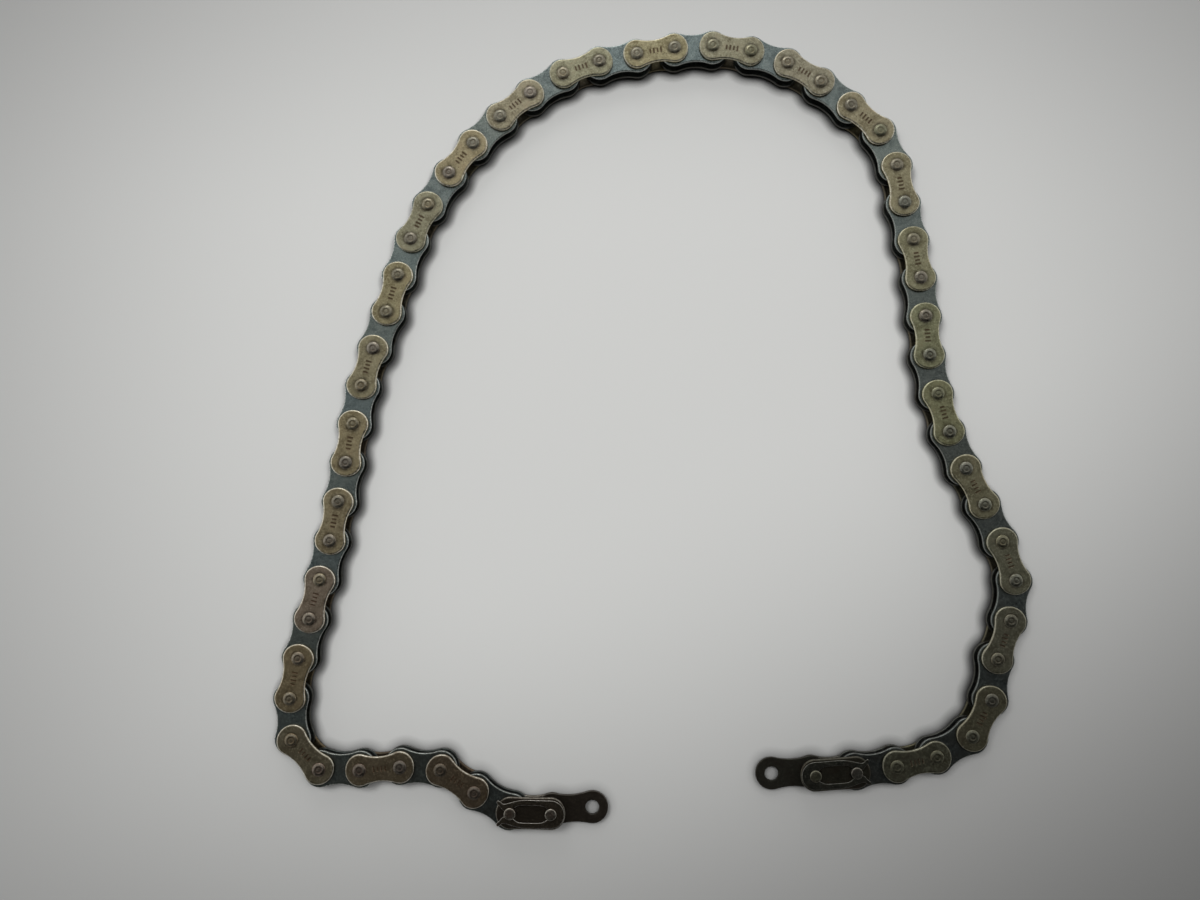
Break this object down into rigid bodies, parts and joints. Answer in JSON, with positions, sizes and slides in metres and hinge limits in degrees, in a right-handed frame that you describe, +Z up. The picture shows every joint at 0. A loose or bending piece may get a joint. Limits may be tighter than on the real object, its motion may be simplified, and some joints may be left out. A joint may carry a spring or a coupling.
{
  "type": "roller chain",
  "caption": "Single-strand roller chain lying on its side in an open loop, with a spring-clip connecting link and a flat drilled end plate at each end.",
  "frame": {"origin": "middle of the chain's bounding box, at the level of the lowest pin ends, which it lies on", "axes": "+Z up along every hinge pin; +Y towards the closed end of the arch, away from the two free ends; +X to the right"},
  "size_m": [0.2392, 0.2586, 0.0094],
  "materials": {
    "outer_link": "tarnished bronze-brown steel with worn bright rims",
    "inner_link": "blued steel, satin, lightly oiled",
    "connecting_link": "dark oily steel",
    "spring_clip": "dark spring steel with bright edges",
    "end_plate": "blackened steel, smooth"
  },
  "bodies": {
    "end_plate_left": {"end_plate_left": "end_plate"},
    "connecting_link_left": {"connecting_link_left": "connecting_link", "spring_clip_left": "spring_clip"},
    "inner_link_01": {"inner_link_01": "inner_link"},
    "outer_link_01": {"outer_link_01": "outer_link"},
    "inner_link_02": {"inner_link_02": "inner_link"},
    "outer_link_02": {"outer_link_02": "outer_link"},
    "inner_link_03": {"inner_link_03": "inner_link"},
    "outer_link_03": {"outer_link_03": "outer_link"},
    "inner_link_04": {"inner_link_04": "inner_link"},
    "outer_link_04": {"outer_link_04": "outer_link"},
    "inner_link_05": {"inner_link_05": "inner_link"},
    "outer_link_05": {"outer_link_05": "outer_link"},
    "inner_link_06": {"inner_link_06": "inner_link"},
    "outer_link_06": {"outer_link_06": "outer_link"},
    "inner_link_07": {"inner_link_07": "inner_link"},
    "outer_link_07": {"outer_link_07": "outer_link"},
    "inner_link_08": {"inner_link_08": "inner_link"},
    "outer_link_08": {"outer_link_08": "outer_link"},
    "inner_link_09": {"inner_link_09": "inner_link"},
    "outer_link_09": {"outer_link_09": "outer_link"},
    "inner_link_10": {"inner_link_10": "inner_link"},
    "outer_link_10": {"outer_link_10": "outer_link"},
    "inner_link_11": {"inner_link_11": "inner_link"},
    "outer_link_11": {"outer_link_11": "outer_link"},
    "inner_link_12": {"inner_link_12": "inner_link"},
    "outer_link_12": {"outer_link_12": "outer_link"},
    "inner_link_13": {"inner_link_13": "inner_link"},
    "outer_link_13": {"outer_link_13": "outer_link"},
    "inner_link_14": {"inner_link_14": "inner_link"},
    "outer_link_14": {"outer_link_14": "outer_link"},
    "inner_link_15": {"inner_link_15": "inner_link"},
    "outer_link_15": {"outer_link_15": "outer_link"},
    "inner_link_16": {"inner_link_16": "inner_link"},
    "outer_link_16": {"outer_link_16": "outer_link"},
    "inner_link_17": {"inner_link_17": "inner_link"},
    "outer_link_17": {"outer_link_17": "outer_link"},
    "inner_link_18": {"inner_link_18": "inner_link"},
    "outer_link_18": {"outer_link_18": "outer_link"},
    "inner_link_19": {"inner_link_19": "inner_link"},
    "outer_link_19": {"outer_link_19": "outer_link"},
    "inner_link_20": {"inner_link_20": "inner_link"},
    "outer_link_20": {"outer_link_20": "outer_link"},
    "inner_link_21": {"inner_link_21": "inner_link"},
    "outer_link_21": {"outer_link_21": "outer_link"},
    "inner_link_22": {"inner_link_22": "inner_link"},
    "outer_link_22": {"outer_link_22": "outer_link"},
    "inner_link_23": {"inner_link_23": "inner_link"},
    "outer_link_23": {"outer_link_23": "outer_link"},
    "inner_link_24": {"inner_link_24": "inner_link"},
    "outer_link_24": {"outer_link_24": "outer_link"},
    "inner_link_25": {"inner_link_25": "inner_link"},
    "outer_link_25": {"outer_link_25": "outer_link"},
    "inner_link_26": {"inner_link_26": "inner_link"},
    "outer_link_26": {"outer_link_26": "outer_link"},
    "inner_link_27": {"inner_link_27": "inner_link"},
    "connecting_link_right": {"connecting_link_right": "connecting_link", "spring_clip_right": "spring_clip"},
    "end_plate_right": {"end_plate_right": "end_plate"}
  },
  "joints": [
    {"name": "hinge_01", "type": "hinge", "parent": "connecting_link_left", "child": "end_plate_left", "pos_m": [-0.0316, -0.12394, 0.0043], "axis": [0, 0, 1], "range_deg": [-45, 45]},
    {"name": "hinge_02", "type": "hinge", "parent": "inner_link_01", "child": "connecting_link_left", "pos_m": [-0.04429, -0.12375, 0.0043], "axis": [0, 0, -1], "range_deg": [-45, 45]},
    {"name": "hinge_03", "type": "hinge", "parent": "outer_link_01", "child": "inner_link_01", "pos_m": [-0.05549, -0.11776, 0.0043], "axis": [0, 0, 1], "range_deg": [-45, 45]},
    {"name": "hinge_04", "type": "hinge", "parent": "inner_link_02", "child": "outer_link_01", "pos_m": [-0.06616, -0.11087, 0.0043], "axis": [0, 0, -1], "range_deg": [-45, 45]},
    {"name": "hinge_05", "type": "hinge", "parent": "outer_link_02", "child": "inner_link_02", "pos_m": [-0.07884, -0.11008, 0.0043], "axis": [0, 0, 1], "range_deg": [-45, 45]},
    {"name": "hinge_06", "type": "hinge", "parent": "inner_link_03", "child": "outer_link_02", "pos_m": [-0.0915, -0.11106, 0.0043], "axis": [0, 0, -1], "range_deg": [-45, 45]},
    {"name": "hinge_07", "type": "hinge", "parent": "outer_link_03", "child": "inner_link_03", "pos_m": [-0.1042, -0.11089, 0.0043], "axis": [0, 0, 1], "range_deg": [-45, 45]},
    {"name": "hinge_08", "type": "hinge", "parent": "inner_link_04", "child": "outer_link_03", "pos_m": [-0.1131, -0.10183, 0.0043], "axis": [0, 0, -1], "range_deg": [-45, 45]},
    {"name": "hinge_09", "type": "hinge", "parent": "outer_link_04", "child": "inner_link_04", "pos_m": [-0.11401, -0.08917, 0.0043], "axis": [0, 0, 1], "range_deg": [-45, 45]},
    {"name": "hinge_10", "type": "hinge", "parent": "inner_link_05", "child": "outer_link_04", "pos_m": [-0.11166, -0.07669, 0.0043], "axis": [0, 0, -1], "range_deg": [-45, 45]},
    {"name": "hinge_11", "type": "hinge", "parent": "outer_link_05", "child": "inner_link_05", "pos_m": [-0.10849, -0.06439, 0.0043], "axis": [0, 0, 1], "range_deg": [-45, 45]},
    {"name": "hinge_12", "type": "hinge", "parent": "inner_link_06", "child": "outer_link_05", "pos_m": [-0.10546, -0.05206, 0.0043], "axis": [0, 0, -1], "range_deg": [-45, 45]},
    {"name": "hinge_13", "type": "hinge", "parent": "outer_link_06", "child": "inner_link_06", "pos_m": [-0.10255, -0.03969, 0.0043], "axis": [0, 0, 1], "range_deg": [-45, 45]},
    {"name": "hinge_14", "type": "hinge", "parent": "inner_link_07", "child": "outer_link_06", "pos_m": [-0.10019, -0.02722, 0.0043], "axis": [0, 0, -1], "range_deg": [-45, 45]},
    {"name": "hinge_15", "type": "hinge", "parent": "outer_link_07", "child": "inner_link_07", "pos_m": [-0.09803, -0.0147, 0.0043], "axis": [0, 0, 1], "range_deg": [-45, 45]},
    {"name": "hinge_16", "type": "hinge", "parent": "inner_link_08", "child": "outer_link_07", "pos_m": [-0.09598, -0.00217, 0.0043], "axis": [0, 0, -1], "range_deg": [-45, 45]},
    {"name": "hinge_17", "type": "hinge", "parent": "outer_link_08", "child": "inner_link_08", "pos_m": [-0.09356, 0.0103, 0.0043], "axis": [0, 0, 1], "range_deg": [-45, 45]},
    {"name": "hinge_18", "type": "hinge", "parent": "inner_link_09", "child": "outer_link_08", "pos_m": [-0.08994, 0.02247, 0.0043], "axis": [0, 0, -1], "range_deg": [-45, 45]},
    {"name": "hinge_19", "type": "hinge", "parent": "outer_link_09", "child": "inner_link_09", "pos_m": [-0.08587, 0.0345, 0.0043], "axis": [0, 0, 1], "range_deg": [-45, 45]},
    {"name": "hinge_20", "type": "hinge", "parent": "inner_link_10", "child": "outer_link_09", "pos_m": [-0.08234, 0.0467, 0.0043], "axis": [0, 0, -1], "range_deg": [-45, 45]},
    {"name": "hinge_21", "type": "hinge", "parent": "outer_link_10", "child": "inner_link_10", "pos_m": [-0.07838, 0.05877, 0.0043], "axis": [0, 0, 1], "range_deg": [-45, 44]},
    {"name": "hinge_22", "type": "hinge", "parent": "inner_link_11", "child": "outer_link_10", "pos_m": [-0.07283, 0.07019, 0.0043], "axis": [0, 0, -1], "range_deg": [-14, 45]},
    {"name": "hinge_23", "type": "hinge", "parent": "outer_link_11", "child": "inner_link_11", "pos_m": [-0.06608, 0.08095, 0.0043], "axis": [0, 0, 1], "range_deg": [-45, 12]},
    {"name": "hinge_24", "type": "hinge", "parent": "inner_link_12", "child": "outer_link_11", "pos_m": [-0.05827, 0.09096, 0.0043], "axis": [0, 0, -1], "range_deg": [-11, 45]},
    {"name": "hinge_25", "type": "hinge", "parent": "outer_link_12", "child": "inner_link_12", "pos_m": [-0.04938, 0.10004, 0.0043], "axis": [0, 0, 1], "range_deg": [-45, 11]},
    {"name": "hinge_26", "type": "hinge", "parent": "inner_link_13", "child": "outer_link_12", "pos_m": [-0.03949, 0.10801, 0.0043], "axis": [0, 0, -1], "range_deg": [-10, 45]},
    {"name": "hinge_27", "type": "hinge", "parent": "outer_link_13", "child": "inner_link_13", "pos_m": [-0.02864, 0.11459, 0.0043], "axis": [0, 0, 1], "range_deg": [-45, 10]},
    {"name": "hinge_28", "type": "hinge", "parent": "inner_link_14", "child": "outer_link_13", "pos_m": [-0.01664, 0.11877, 0.0043], "axis": [0, 0, -1], "range_deg": [-10, 45]},
    {"name": "hinge_29", "type": "hinge", "parent": "inner_link_14", "child": "outer_link_14", "pos_m": [-0.00417, 0.12118, 0.0043], "axis": [0, 0, 1], "range_deg": [-10, 45]},
    {"name": "hinge_30", "type": "hinge", "parent": "outer_link_14", "child": "inner_link_15", "pos_m": [0.00837, 0.12319, 0.0043], "axis": [0, 0, -1], "range_deg": [-45, 11]},
    {"name": "hinge_31", "type": "hinge", "parent": "inner_link_15", "child": "outer_link_15", "pos_m": [0.02105, 0.12377, 0.0043], "axis": [0, 0, 1], "range_deg": [-13, 45]},
    {"name": "hinge_32", "type": "hinge", "parent": "outer_link_15", "child": "inner_link_16", "pos_m": [0.03359, 0.12173, 0.0043], "axis": [0, 0, -1], "range_deg": [-45, 34]},
    {"name": "hinge_33", "type": "hinge", "parent": "inner_link_16", "child": "outer_link_16", "pos_m": [0.04559, 0.11758, 0.0043], "axis": [0, 0, 1], "range_deg": [-35, 45]},
    {"name": "hinge_34", "type": "hinge", "parent": "outer_link_16", "child": "inner_link_17", "pos_m": [0.05641, 0.11093, 0.0043], "axis": [0, 0, -1], "range_deg": [-45, 36]},
    {"name": "hinge_35", "type": "hinge", "parent": "inner_link_17", "child": "outer_link_17", "pos_m": [0.06612, 0.10274, 0.0043], "axis": [0, 0, 1], "range_deg": [-38, 45]},
    {"name": "hinge_36", "type": "hinge", "parent": "outer_link_17", "child": "inner_link_18", "pos_m": [0.07542, 0.0941, 0.0043], "axis": [0, 0, -1], "range_deg": [-45, 40]},
    {"name": "hinge_37", "type": "hinge", "parent": "inner_link_18", "child": "outer_link_18", "pos_m": [0.08045, 0.08243, 0.0043], "axis": [0, 0, 1], "range_deg": [-44, 45]},
    {"name": "hinge_38", "type": "hinge", "parent": "outer_link_18", "child": "inner_link_19", "pos_m": [0.08268, 0.06993, 0.0043], "axis": [0, 0, -1], "range_deg": [-45, 45]},
    {"name": "hinge_39", "type": "hinge", "parent": "inner_link_19", "child": "outer_link_19", "pos_m": [0.08512, 0.05747, 0.0043], "axis": [0, 0, 1], "range_deg": [-45, 45]},
    {"name": "hinge_40", "type": "hinge", "parent": "outer_link_19", "child": "inner_link_20", "pos_m": [0.08717, 0.04493, 0.0043], "axis": [0, 0, -1], "range_deg": [-45, 45]},
    {"name": "hinge_41", "type": "hinge", "parent": "inner_link_20", "child": "outer_link_20", "pos_m": [0.08833, 0.03229, 0.0043], "axis": [0, 0, 1], "range_deg": [-45, 45]},
    {"name": "hinge_42", "type": "hinge", "parent": "outer_link_20", "child": "inner_link_21", "pos_m": [0.0892, 0.01962, 0.0043], "axis": [0, 0, -1], "range_deg": [-45, 45]},
    {"name": "hinge_43", "type": "hinge", "parent": "inner_link_21", "child": "outer_link_21", "pos_m": [0.09145, 0.00712, 0.0043], "axis": [0, 0, 1], "range_deg": [-45, 45]},
    {"name": "hinge_44", "type": "hinge", "parent": "outer_link_21", "child": "inner_link_22", "pos_m": [0.09476, -0.00514, 0.0043], "axis": [0, 0, -1], "range_deg": [-45, 45]},
    {"name": "hinge_45", "type": "hinge", "parent": "inner_link_22", "child": "outer_link_22", "pos_m": [0.09958, -0.01689, 0.0043], "axis": [0, 0, 1], "range_deg": [-45, 45]},
    {"name": "hinge_46", "type": "hinge", "parent": "outer_link_22", "child": "inner_link_23", "pos_m": [0.10506, -0.02835, 0.0043], "axis": [0, 0, -1], "range_deg": [-45, 45]},
    {"name": "hinge_47", "type": "hinge", "parent": "inner_link_23", "child": "outer_link_23", "pos_m": [0.11018, -0.03997, 0.0043], "axis": [0, 0, 1], "range_deg": [-45, 45]},
    {"name": "hinge_48", "type": "hinge", "parent": "outer_link_23", "child": "inner_link_24", "pos_m": [0.11393, -0.05211, 0.0043], "axis": [0, 0, -1], "range_deg": [-45, 45]},
    {"name": "hinge_49", "type": "hinge", "parent": "inner_link_24", "child": "outer_link_24", "pos_m": [0.11189, -0.06464, 0.0043], "axis": [0, 0, 1], "range_deg": [-45, 45]},
    {"name": "hinge_50", "type": "hinge", "parent": "outer_link_24", "child": "inner_link_25", "pos_m": [0.10738, -0.07652, 0.0043], "axis": [0, 0, -1], "range_deg": [-45, 45]},
    {"name": "hinge_51", "type": "hinge", "parent": "inner_link_25", "child": "outer_link_25", "pos_m": [0.1051, -0.08901, 0.0043], "axis": [0, 0, 1], "range_deg": [-45, 45]},
    {"name": "hinge_52", "type": "hinge", "parent": "outer_link_25", "child": "inner_link_26", "pos_m": [0.09878, -0.10003, 0.0043], "axis": [0, 0, -1], "range_deg": [-45, 45]},
    {"name": "hinge_53", "type": "hinge", "parent": "inner_link_26", "child": "outer_link_26", "pos_m": [0.08772, -0.10627, 0.0043], "axis": [0, 0, 1], "range_deg": [-45, 45]},
    {"name": "hinge_54", "type": "hinge", "parent": "outer_link_26", "child": "inner_link_27", "pos_m": [0.07538, -0.10925, 0.0043], "axis": [0, 0, -1], "range_deg": [-45, 45]},
    {"name": "hinge_55", "type": "hinge", "parent": "inner_link_27", "child": "connecting_link_right", "pos_m": [0.0628, -0.11102, 0.0043], "axis": [0, 0, 1], "range_deg": [-45, 45]},
    {"name": "hinge_56", "type": "hinge", "parent": "connecting_link_right", "child": "end_plate_right", "pos_m": [0.05014, -0.112, 0.0043], "axis": [0, 0, -1], "range_deg": [-45, 45]}
  ]
}
